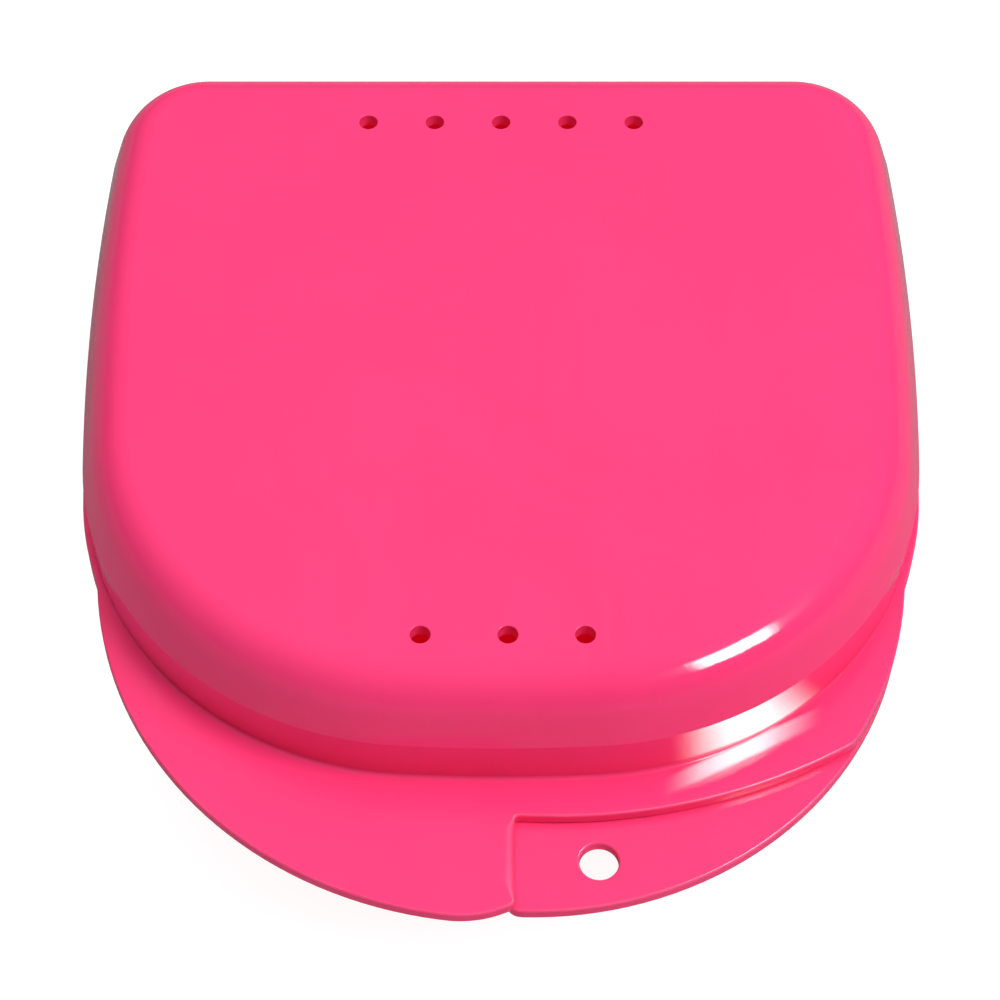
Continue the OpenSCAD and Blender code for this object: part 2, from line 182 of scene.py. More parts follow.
@dataclass(frozen=True)
class CasePlan:
    """The case seen from above, from the same sizes as the CAD part, in millimetres."""

    body_w: float = 80.0
    body_l: float = 76.9
    widest_in: float = 28.6
    side_r: float = 260.0
    front_r: float = 150.0
    front_corner_r: float = 32.5
    rear_corner_r: float = 9.8
    tab_reach: float = 13.9
    base_tab_less: float = 1.3
    lid_tab_r: float = 38.0
    base_tab_r: float = 34.7
    base_tab_x: float = 2.8
    rim_w: float = 0.6
    shelf_w: float = 3.9
    shelf_r: float = 52.0
    shelf_x: float = 5.0
    lid_split_x: float = 1.2
    base_split_x: float = 0.5
    lid_corner: Pair = (10.0, 6.0)
    base_corner: Pair = (1.4, 1.2)
    hinge_gap: float = 0.4
    knuckle_r: float = 2.4
    edge_softness: float = 0.33

    @property
    def total_l(self) -> float:
        """Whole length of the case, with its tabs and its hinge."""
        return self.tab_reach + self.body_l + self.rim_w + self.hinge_gap + 2.0 * self.knuckle_r

    @property
    def front_y(self) -> float:
        """Place of the body's front wall."""
        return self.tab_reach - self.total_l / 2.0

    @property
    def rear_y(self) -> float:
        """Place of the body's rear wall."""
        return self.front_y + self.body_l

    @property
    def hinge_y(self) -> float:
        """Place of the hinge line."""
        return self.total_l / 2.0 - self.knuckle_r

    @property
    def lid_tab_c(self) -> np.ndarray:
        """Centre of the lid tab's round edge."""
        return np.array([0.0, self.front_y - self.tab_reach + self.lid_tab_r])

    @property
    def base_tab_c(self) -> np.ndarray:
        """Centre of the base tab's round edge."""
        return np.array([self.base_tab_x, self.front_y - self.tab_reach + self.base_tab_less + self.base_tab_r])

    @property
    def shelf_c(self) -> np.ndarray:
        """Centre of the shelf's front edge."""
        return np.array([self.shelf_x, self.front_y - self.shelf_w + self.shelf_r])

    def body(self) -> Loop:
        """The body's outline, anticlockwise from the middle of the front, with its exact outward directions."""
        side_c = np.array([self.body_w / 2.0 - self.side_r, self.rear_y - self.widest_in])
        front_c = np.array([0.0, self.front_y + self.front_r])
        near, far = self.side_r - self.front_corner_r, self.front_r - self.front_corner_r
        apart = float(np.linalg.norm(front_c - side_c))
        run = (near**2 - far**2 + apart**2) / (2.0 * apart)
        line = (front_c - side_c) / apart
        corner_c = side_c + run * line + math.sqrt(near**2 - run**2) * np.array([line[1], -line[0]])
        rear_c_y = self.rear_y - self.rear_corner_r
        rear_c_x = side_c[0] + math.sqrt((self.side_r - self.rear_corner_r) ** 2 - (rear_c_y - side_c[1]) ** 2)
        rear_c = np.array([rear_c_x, rear_c_y])
        turns = [-90.0, heading(corner_c - front_c), heading(corner_c - side_c), heading(rear_c - side_c), 90.0]
        arcs = [
            (front_c, self.front_r, 24),
            (corner_c, self.front_corner_r, 60),
            (side_c, self.side_r, 20),
            (rear_c, self.rear_corner_r, 28),
        ]
        points, outward = [], []
        for (centre, radius, steps), start, end in zip(arcs, turns, turns[1:]):
            spokes = arc(np.zeros(2), 1.0, start, end, steps)
            points.append(centre + radius * spokes)
            outward.append(spokes)
        rear_steps = 6
        across = rear_c[0] * np.arange(rear_steps, 0, -1) / rear_steps
        points.append(np.stack([across, np.full(rear_steps, self.rear_y)], axis=1))
        outward.append(np.tile([0.0, 1.0], (rear_steps, 1)))
        right, out = np.vstack(points), np.vstack(outward)
        return Loop(
            np.vstack([right, [[0.0, self.rear_y]], right[:0:-1] * FLIP]),
            np.vstack([out, [[0.0, 1.0]], out[:0:-1] * FLIP]),
        )

    def flange(self, tab_c: np.ndarray, tab_r: float, edge_x: float, corner_r: float, corner_l: float) -> Loop:
        """The flange of a half whose thumb tab is on the left.

        Args:
            tab_c: Centre of the tab's round edge.
            tab_r: Its radius.
            edge_x: Place of the tab's straight end.
            corner_r: Radius of the tab's front corner at that end.
            corner_l: Length of that corner along the tab's front.

        Returns:
            The flange's outline, with its corners a little softened.
        """
        rim = self.body().at(self.rim_w)
        half = len(rim) // 2
        shelf_y = self.shelf_c[1] - math.sqrt(self.shelf_r**2 - (edge_x - self.shelf_x) ** 2)
        clear = 0.3
        right = [np.array([[edge_x, shelf_y]])]
        for point in rim[: half + 1]:
            spoke = point - tab_c
            reach = float(np.linalg.norm(spoke))
            if spoke[1] < 0.0:
                to_shelf = self.shelf_c - tab_c
                aside = float(spoke @ to_shelf) / reach
                shelf = aside + math.sqrt(aside**2 - float(to_shelf @ to_shelf) + self.shelf_r**2)
                point = tab_c + spoke / reach * max(reach, min(shelf, tab_r))
            if point[0] > edge_x + clear:
                right.append(point[None])
        left = [p for p in rim[half + 1 :] if np.linalg.norm(p - tab_c) > tab_r or p[1] > tab_c[1]]
        start = heading(left[-1] - tab_c) % 360.0
        front_end = 360.0 - math.degrees(math.acos((edge_x - corner_l - tab_c[0]) / tab_r))
        corner_c = tab_c + (tab_r - corner_r) * along(front_end)
        corner_end = 360.0 - math.degrees(math.acos((edge_x - corner_c[0]) / corner_r))
        parts = right + [
            np.array(left),
            arc(tab_c, tab_r, start, front_end, 240)[1:],
            arc(corner_c, corner_r, front_end, corner_end, 24, whole=True),
        ]
        return Loop.traced(np.vstack(parts), self.edge_softness)

    def lid_flange(self) -> Loop:
        """The lid's flange, with its thumb tab on the left."""
        return self.flange(self.lid_tab_c, self.lid_tab_r, self.lid_split_x, *self.lid_corner)

    def base_flange(self) -> Loop:
        """The base's flange, with its thumb tab on the right."""
        turned = self.flange(self.base_tab_c * FLIP, self.base_tab_r, -self.base_split_x, *self.base_corner)
        return turned.mirrored()


# -------- skins swept along a section


@dataclass(frozen=True)
class Station:
    """One line of a section: how far out and how high it runs, and which way the surface faces there."""

    out: Spread
    up: Spread
    face_out: Spread = 0.0
    face_up: Spread = 1.0
    edge: float = 0.0
    inner: float = 0.0


def indoors(stations: Sequence[Station]) -> list[Station]:
    """The same stations, marked as lying inside the case."""
    return [replace(station, inner=1.0) for station in stations]


def turn(
    out: Spread, up: Spread, width: Spread, height: Spread, start: float, end: float, steps: int,
    hollow: bool = False, edge: float = 0.0,
) -> list[Station]:
    """Stations along part of an ellipse: a rounded edge, a fillet or the dome itself.

    Args:
        out: How far out the ellipse's centre lies.
        up: How high it lies.
        width: Half of the ellipse's width.
        height: Half of its height.
        start: Angle of the first station, in degrees, 0 straight out and 90 straight up.
        end: Angle of the last one.
        steps: Number of steps between them.
        hollow: Whether the surface faces the centre, as in a fillet.
        edge: How much the middle of the turn counts as a worn edge.

    Returns:
        The stations in order.
    """
    side = -1.0 if hollow else 1.0
    stations = []
    for i in range(steps + 1):
        angle = math.radians(start + (end - start) * i / steps)
        c, s = math.cos(angle), math.sin(angle)
        worn = edge * math.sin(math.pi * i / steps)
        stations.append(Station(out + width * c, up + height * s, side * height * c, side * width * s, worn))
    return stations


def over(out: float, up: float, radius: Spread, steps: int, edge: float = 0.0) -> list[Station]:
    """Stations over the rounded edge from a level top at up to a wall that faces out at out."""
    return turn(out - radius, up - radius, radius, radius, 90.0, 0.0, steps, edge=edge)


def under(out: float, up: float, radius: Spread, steps: int, edge: float = 0.0) -> list[Station]:
    """Stations round the edge from a wall that faces out at out to a level underside at up."""
    return turn(out - radius, up + radius, radius, radius, 0.0, -90.0, steps, edge=edge)


def swell(out: float, up: float, reach: float, proud: Spread, start: float, end: float) -> list[Station]:
    """Stations over a soft bead or groove along an upright wall.

    Args:
        out: How far out the wall lies.
        up: Height of the bead's middle.
        reach: Half of the bead's height.
        proud: How far out its top stands, at each point.
        start: Where it starts, as a share of reach above the middle.
        end: Where it ends.

    Returns:
        The stations, facing out where the sweep goes down and in where it goes up.
    """
    side = 1.0 if end < start else -1.0
    stations = []
    for share in np.linspace(start, end, num=9):
        bump = 0.5 * (1.0 + math.cos(math.pi * share))
        slope = -0.5 * math.pi / reach * math.sin(math.pi * share)
        stations.append(Station(out + proud * bump, up + reach * share, side, -side * proud * slope))
    return stations


class Skin:
    """A mesh in the making: its points, the way the surface faces at each, and the faces between them."""

    def __init__(self, lift: float = 0.0, sideways: bool = False) -> None:
        """Starts an empty skin, lifted by a height, or sideways: drawn in the side view and swept along X."""
        self.lift = lift
        self.sideways = sideways
        self.points: list[np.ndarray] = []
        self.facing: list[np.ndarray] = []
        self.edges: list[np.ndarray] = []
        self.inner: list[np.ndarray] = []
        self.faces: list[Sequence[int]] = []
        self.count = 0

    def ring(self, loop: Loop, station: Station) -> np.ndarray:
        """Adds the points of a loop at a station of the section and returns their numbers."""
        size = len(loop.points)
        flat = loop.at(station.out)
        up = np.broadcast_to(np.asarray(station.up, dtype=float) + self.lift, (size,))
        face_out = np.reshape(np.broadcast_to(station.face_out, (size,)), (-1, 1))
        face_up = np.broadcast_to(station.face_up, (size,))
        facing = np.column_stack([loop.outward * face_out, face_up])
        facing /= np.linalg.norm(facing, axis=1, keepdims=True)
        self.points.append(np.column_stack([flat, up]))
        self.facing.append(facing)
        self.edges.append(np.full(size, station.edge))
        self.inner.append(np.full(size, station.inner))
        self.count += size
        return np.arange(self.count - size, self.count)

    def sweep(self, loop: Loop, stations: Sequence[Station]) -> tuple[np.ndarray, np.ndarray]:
        """Sweeps a loop through stations and joins them with faces.

        Args:
            loop: The line that is followed.
            stations: The section, with the surface on its left as it is walked.

        Returns:
            The numbers of the first and of the last line's points.
        """
        rings = [self.ring(loop, station) for station in stations]
        for one, two in zip(rings, rings[1:]):
            quads = np.stack([two, np.roll(two, -1), np.roll(one, -1), one], axis=1)
            self.faces.extend(quads.tolist())
        return rings[0], rings[-1]

    def flat(self, rings: Sequence[np.ndarray], facing_up: bool) -> None:
        """Fills a level surface, up or down, between rings that are there: its outer line and its holes."""
        placed = np.vstack(self.points)[:, :2]
        numbers = np.concatenate(rings)
        lines, start = [], 0
        for ring in rings:
            size = len(ring)
            lines += [(start + i, start + (i + 1) % size) for i in range(size)]
            start += size
        spots = placed[numbers]
        within, nearest = 1, 1e-7
        result = delaunay_2d_cdt([Vector(p) for p in spots], lines, [], within, nearest)
        origin = [sources[0] if sources else -1 for sources in result[3]]
        if min(origin) < 0 or len(origin) != len(numbers):
            raise ValueError("two lines of a level surface cross")
        starts, ends = spots[[a for a, _ in lines]], spots[[b for _, b in lines]]
        for face in result[2]:
            corners = [origin[i] for i in face]
            x, y = spots[corners].mean(axis=0)
            across = (starts[:, 1] > y) != (ends[:, 1] > y)
            a, b = starts[across], ends[across]
            crossings = a[:, 0] + (y - a[:, 1]) / (b[:, 1] - a[:, 1]) * (b[:, 0] - a[:, 0])
            if np.count_nonzero(crossings > x) % 2:
                chosen = [int(numbers[i]) for i in corners]
                self.faces.append(chosen if facing_up else chosen[::-1])

    def finish(self, name: str) -> Piece:
        """Makes the mesh, in metres, and the piece of that name, which it returns."""
        points, facing = np.vstack(self.points), np.vstack(self.facing)
        if self.sideways:
            points, facing = points[:, [2, 0, 1]], facing[:, [2, 0, 1]]
        mesh = bpy.data.meshes.new(name)
        mesh.from_pydata((points * MM).tolist(), [], self.faces)
        for label, values in (("edge", self.edges), ("inner", self.inner)):
            mesh.attributes.new(label, "FLOAT", "POINT").data.foreach_set("value", np.concatenate(values))
        mesh.shade_smooth()
        mesh.normals_split_custom_set_from_vertices(facing.tolist())
        mesh.update()
        return placed(name, mesh)


# -------- the lid


@dataclass(frozen=True)
class LidShell:
    """The lid's moulding: dome, upright band, flange with the left thumb tab, and the vents."""

    plan: CasePlan = CasePlan()
    stands_at: float = 15.3
    flange_t: float = 1.3
    lip_z: float = 6.6
    lip_r: float = 0.15
    ledge_w: float = 0.5
    dome_h: float = 6.9
    dome_in: float = 4.6
    dome_end: float = 25.0
    lip_start: float = 17.0
    wall_t: float = 1.5
    ceiling_from: float = 6.1
    foot_r: float = 0.4
    side_foot_r: float = 0.25
    edge_r: float = 0.25
    split_edge_r: float = 1.0
    mouth_r: float = 0.15
    groove_z: float = 0.9
    groove_reach: float = 0.42
    groove_in: float = 0.15
    groove_half: float = 4.5
    vent_r: float = 0.9
    vent_edge_r: float = 0.12
    vent_foot_r: float = 0.1
    vents_apart: float = 6.6
    rear_vents_in: float = 9.1
    front_vents_in: float = 7.5
    front_vents_x: tuple[float, ...] = (-7.1, 0.6, 7.4)

    @property
    def top(self) -> float:
        """Height of the lid's flat top above its foot."""
        return self.lip_z + self.dome_h

    def vents(self) -> list[Loop]:
        """The five vents of the rear row and the three of the front row."""
        rear_y, front_y = self.plan.rear_y - self.rear_vents_in, self.plan.front_y + self.front_vents_in
        places = [(self.vents_apart * i, rear_y) for i in range(-2, 3)]
        places += [(x, front_y) for x in self.front_vents_x]
        return [Loop.circle(np.array(place), self.vent_r, 40, hole=True) for place in places]

    def foot_fillet(self, body: Loop) -> np.ndarray:
        """Radius of the fillet at the band's foot, wider in front than round the corners and the sides."""
        starts, rises_over = 0.80, 0.18
        front = eased((-body.outward[:, 1] - starts) / rises_over)
        return self.side_foot_r + (self.foot_r - self.side_foot_r) * front

    def top_edge(self, flange: Loop) -> np.ndarray:
        """Radius of the flange's top edge, full along the tab's straight end and fine elsewhere."""
        x, y = flange.points.T
        near, faces_end = 0.4, 0.3
        on_end = (np.abs(x - self.plan.lid_split_x) < near) & (flange.outward[:, 0] > faces_end)
        shelf_y = self.plan.shelf_c[1] - self.plan.shelf_r
        front_y = y[on_end].min()
        from_shelf, shelf_run, from_front, front_run = 0.1, 1.2, 0.3, 1.5
        share = eased((shelf_y - from_shelf - y) / shelf_run)
        share = share * eased((y - front_y - from_front) / front_run) * on_end
        return self.edge_r + (self.split_edge_r - self.edge_r) * share

    def section(self, body: Loop) -> list[Station]:
        """The outside of the dome and band, from the flat top to the flange."""
        dome_c, dome_out = self.lip_z + self.ledge_w / 6.0, -self.ledge_w - self.dome_in
        lip_r, lip_c = self.lip_r, self.lip_z - 0.4 * self.lip_r
        foot = self.foot_fillet(body)
        return [
            *turn(dome_out, dome_c, self.dome_in, self.top - dome_c, 90.0, self.dome_end, 17),
            *turn(-lip_r, lip_c, lip_r, lip_r, self.lip_start, 0.0, 2, edge=0.6),
            *turn(foot, self.flange_t + foot, foot, foot, 180.0, 270.0, 6, hollow=True),
        ]

    def hollow(self, body: Loop) -> list[Station]:
        """The inside of the lid, from its mouth up to the ceiling, with the groove for the snap bead."""
        depth = self.groove_in * body.across_front(self.groove_half)
        wall, r = -self.wall_t, self.mouth_r
        rise = self.top - self.wall_t - self.ceiling_from
        return [
            *turn(wall + r, r, r, r, 270.0, 180.0, 3, edge=0.4),
            *swell(wall, self.groove_z, self.groove_reach, depth, -1.0, 1.0),
            *turn(wall - self.dome_in, self.ceiling_from, self.dome_in, rise, 0.0, 90.0, 12, hollow=True),
        ]

    def build(self) -> Piece:
        """Builds the lid's shell and returns it."""
        skin = Skin(lift=self.stands_at)
        body, flange = self.plan.body(), self.plan.lid_flange()
        brim, foot = skin.sweep(body, self.section(body))
        top_edge = over(0.0, self.flange_t, self.top_edge(flange), 7, edge=1.0)
        rim_top, rim_foot = skin.sweep(flange, [*top_edge, *under(0.0, 0.0, self.edge_r, 4, edge=0.6)])
        mouth, ceiling = skin.sweep(body, indoors(self.hollow(body)))
        vent_top = over(0.0, self.top, self.vent_edge_r, 4, edge=0.5)
        vent_foot = under(0.0, self.top - self.wall_t, self.vent_foot_r, 3)
        tops, ends = zip(*(skin.sweep(vent, [*vent_top, *vent_foot]) for vent in self.vents()))
        skin.flat([brim, *tops], facing_up=True)
        skin.flat([rim_top, foot], facing_up=True)
        skin.flat([rim_foot, mouth], facing_up=False)
        skin.flat([ceiling, *ends], facing_up=False)
        return skin.finish("lid_shell")


# -------- the base


@dataclass(frozen=True)
class BaseShell:
    """The base's moulding: tray, standing edge with the snap bead, and flange with the right thumb tab."""

    plan: CasePlan = CasePlan()
    flange_top: float = 15.2
    flange_t: float = 1.3
    wall_t: float = 1.5
    wall_in: float = 1.75
    draft: float = 0.4
    bottom_r: float = 4.5
    edge_top: float = 17.2
    edge_top_r: float = 0.4
    seat_r: float = 0.1
    foot_r: float = 1.0
    edge_r: float = 0.25
    bead_z: float = 16.2
    bead_reach: float = 0.36
    bead_proud: float = 0.15
    bead_half: float = 4.0
    lanyard_r: float = 1.75
    lanyard_edge_r: float = 0.3
    lanyard_in: float = 4.4
    lanyard_angle: float = 11.2

    def lanyard_hole(self) -> Loop:
        """The line of the lanyard hole in the base's thumb tab."""
        spoke = (self.plan.base_tab_r - self.lanyard_in) * along(self.lanyard_angle - 90.0)
        return Loop.circle(self.plan.base_tab_c + spoke, self.lanyard_r, 72, hole=True)

    def inside(self) -> list[Station]:
        """The tray's inside and the standing edge, from the floor up and over to the outer face."""
        cavity, r = -self.wall_in - self.wall_t, self.edge_top_r
        turn_r = self.bottom_r - self.wall_t / 2.0
        turn_out = cavity - self.draft - turn_r
        return [
            *turn(turn_out, self.wall_t + turn_r, turn_r, turn_r, 270.0, 360.0, 10, hollow=True),
            *turn(cavity + r, self.edge_top - r, r, r, 180.0, 90.0, 5, edge=0.5),
            *over(-self.wall_in, self.edge_top, r, 5, edge=0.7),
        ]

    def bead(self, body: Loop) -> list[Station]:
        """The standing edge's outer face, with the snap bead across the front."""
        proud = self.bead_proud * body.across_front(self.bead_half)
        wall, r = -self.wall_in, self.seat_r
        return [
            *swell(wall, self.bead_z, self.bead_reach, proud, 1.0, -1.0),
            *turn(wall + r, self.flange_top + r, r, r, 180.0, 270.0, 3, hollow=True),
        ]

    def outside(self, below: float) -> list[Station]:
        """The tray's outside, from the flange's underside at below down to the foot."""
        wall, r = -self.wall_in, self.foot_r
        return [
            *turn(wall + r, below - r, r, r, 90.0, 180.0, 6, hollow=True),
            *under(wall - self.draft, 0.0, self.bottom_r, 14),
        ]

    def build(self) -> Piece:
        """Builds the base's shell and returns it."""
        skin = Skin()
        body, flange = self.plan.body(), self.plan.base_flange()
        top, below = self.flange_top, self.flange_top - self.flange_t
        floor, seat = skin.sweep(body, [*indoors(self.inside()), *self.bead(body)])
        rim = [*over(0.0, top, self.edge_r, 5, edge=1.0), *under(0.0, below, self.edge_r, 5, edge=0.6)]
        rim_top, rim_foot = skin.sweep(flange, rim)
        r = self.lanyard_edge_r
        bore = [*over(0.0, top, r, 5, edge=0.6), *under(0.0, below, r, 5, edge=0.4)]
        hole_top, hole_foot = skin.sweep(self.lanyard_hole(), bore)
        shoulder, bottom = skin.sweep(body, self.outside(below))
        skin.flat([floor], facing_up=True)
        skin.flat([rim_top, seat, hole_top], facing_up=True)
        skin.flat([rim_foot, shoulder, hole_foot], facing_up=False)
        skin.flat([bottom], facing_up=False)
        return skin.finish("base_shell")


# -------- the hinge


@dataclass(frozen=True)
class Hinge:
    """One of the two clip hinges: a rod between two lugs of the lid, and the base's open clip round the rod."""

    hand: Hand
    plan: CasePlan = CasePlan()
    hinge_z: float = 15.25
    from_middle: float = 20.0
    clip_w: float = 5.0
    lug_w: float = 2.0
    side_clear: float = 0.25
    rod_r: float = 1.25
    bore_r: float = 1.32
    mouth_w: float = 1.9
    mouth_angle: float = 50.0
    edge_r: float = 0.12
    softness: float = 0.2
    lead_in: float = 0.35
    finest_step: float = 0.04
    lug_in: float = 0.75
    lug_foot_z: float = 15.45
    lug_top_z: float = 20.05
    lug_slant: Pair = (0.35, 0.45)
    lug_meets_at: float = 457.8
    clip_in: float = 2.5
    clip_foot_z: float = 9.8
    clip_top_z: float = 15.05
    clip_slant: Pair = (0.5, 0.27)
    clip_under_at: float = 261.8
    clip_over_at: float = 184.8

    @property
    def middle(self) -> float:
        """Place of the hinge's middle along the hinge line."""
        return self.hand.value * self.from_middle

    @property
    def axis(self) -> np.ndarray:
        """Place of the hinge line in the side view."""
        return np.array([self.plan.hinge_y, self.hinge_z])

    def slab(self, skin: Skin, loop: Loop, middle: float, width: float) -> None:
        """Adds a slab of some width across the hinge line, with its edges rounded."""
        half, r = width / 2.0, self.edge_r
        sides = [*over(0.0, middle + half, r, 4, edge=0.8), *under(0.0, middle - half, r, 4, edge=0.8)]
        first, last = skin.sweep(loop, sides)
        skin.flat([first], facing_up=True)
        skin.flat([last], facing_up=False)

    def lug_outline(self) -> Loop:
        """A lug from the side: a round end on the hinge line and a web that runs up the lid's rear wall."""
        centre, r = self.axis, self.plan.knuckle_r
        inner = self.plan.rear_y - self.lug_in
        low = math.degrees(math.asin((self.lug_foot_z - self.hinge_z) / r))
        slant_out, slant_down = self.lug_slant
        points = [
            [[inner, self.lug_foot_z]],
            arc(centre, r, 180.0 - low, self.lug_meets_at, 60, whole=True),
            [[inner + slant_out, self.lug_top_z], [inner, self.lug_top_z - slant_down]],
        ]
        return Loop.traced(np.vstack(points), self.softness, self.finest_step)

    def clip_outline(self) -> Loop:
        """A clip from the side: a round end with its bore and mouth, on a web down the base's rear wall."""
        centre, r, bore_r = self.axis, self.plan.knuckle_r, self.bore_r
        inner, mouth = self.plan.rear_y - self.clip_in, self.mouth_angle
        outer_half = math.degrees(math.asin(self.mouth_w / 2.0 / r))
        bore_half = math.degrees(math.asin(self.mouth_w / 2.0 / bore_r))
        low, high = mouth - outer_half, mouth + outer_half
        tip = self.lead_in * along(mouth)
        broken = math.degrees(self.lead_in / r)
        slant_out, slant_down = self.clip_slant
        points = [
            [[inner, self.clip_foot_z], [inner + slant_out, self.clip_foot_z - slant_down]],
            arc(centre, r, self.clip_under_at, 360.0 + low - broken, 50, whole=True),
            (centre + r * along(low) - tip)[None],
            arc(centre, bore_r, mouth - bore_half, mouth + bore_half - 360.0, 60, whole=True),
            (centre + r * along(high) - tip)[None],
            arc(centre, r, high + broken, self.clip_over_at, 40, whole=True),
            [[inner, self.clip_top_z]],
        ]
        return Loop.traced(np.vstack(points), self.softness * 0.75, self.finest_step)

    def build_lid_side(self) -> Piece:
        """Builds the lugs and the rod as one piece."""
        skin = Skin(sideways=True)
        apart = self.clip_w / 2.0 + self.side_clear + self.lug_w / 2.0
        outline = self.lug_outline()
        for hand in Hand:
            self.slab(skin, outline, self.middle + hand.value * apart, self.lug_w)
        rod = Loop.circle(self.axis, self.rod_r, 56)
        self.slab(skin, rod, self.middle, 2.0 * apart)
        return skin.finish(f"lid_hinge_{self.hand.name.lower()}")

    def build_base_side(self) -> Piece:
        """Builds the clip."""
        skin = Skin(sideways=True)
        self.slab(skin, self.clip_outline(), self.middle, self.clip_w)
        return skin.finish(f"base_clip_{self.hand.name.lower()}")


# -------- finishes


class Sketch:
    """A short way to place and join the nodes of one material or node group."""

    def __init__(self, tree: bpy.types.NodeTree) -> None:
        """Takes the node tree that it draws in."""
        self.tree = tree

    def node(self, kind: str, inputs: dict[str, object] | None = None, **settings: object) -> bpy.types.Node:
        """Adds a node.

        Args:
            kind: The node's type name, without its common first part.
            inputs: Socket values or outputs to link, by socket name or number.
            settings: The node's own settings.

        Returns:
            The node.
        """
        node = self.tree.nodes.new(f"ShaderNode{kind}")
        for name, value in settings.items():
            setattr(node, name, value)
        for name, value in (inputs or {}).items():
            socket = node.inputs[name]
            if isinstance(value, Socket):
                self.tree.links.new(value, socket)
            else:
                socket.default_value = value
        return node

    def math(self, operation: str, *values: object) -> Socket:
        """Adds a math node and returns its output."""
        return self.node("Math", dict(enumerate(values)), operation=operation).outputs[0]

    def spread(self, value: Socket, low: float, high: float) -> Socket:
        """Stretches a value so that low becomes 0 and high becomes 1, held between the two."""
        return self.node("MapRange", {"Value": value, "From Min": low, "From Max": high}).outputs["Result"]

    def mixed(self, share: object, one: object, two: object) -> Socket:
        """Mixes two colours and returns the result."""
        return self.node("Mix", {0: share, 6: one, 7: two}, data_type="RGBA").outputs[2]

    def place(self) -> Socket:
        """Returns the place on the piece, in metres."""
        return self.node("TexCoord").outputs["Object"]

    def stretched(self, place: Socket, scale: Triple, turned: Triple = (0.0, 0.0, 0.0)) -> Socket:
        """Turns and stretches a place, for streaks and lines."""
        return self.node("Mapping", {"Vector": place, "Rotation": turned, "Scale": scale}).outputs[0]

    def noise(self, place: Socket, scale: float, detail: float = 2.0, distortion: float = 0.0) -> Socket:
        """Adds a noise texture and returns its value."""
        inputs = {"Vector": place, "Scale": scale, "Detail": detail, "Distortion": distortion}
        return self.node("TexNoise", inputs).outputs[0]

    def mark(self, name: str) -> Socket:
        """Reads one of the marks that each skin carries, edge or inner."""
        return self.node("Attribute", attribute_name=name).outputs["Fac"]


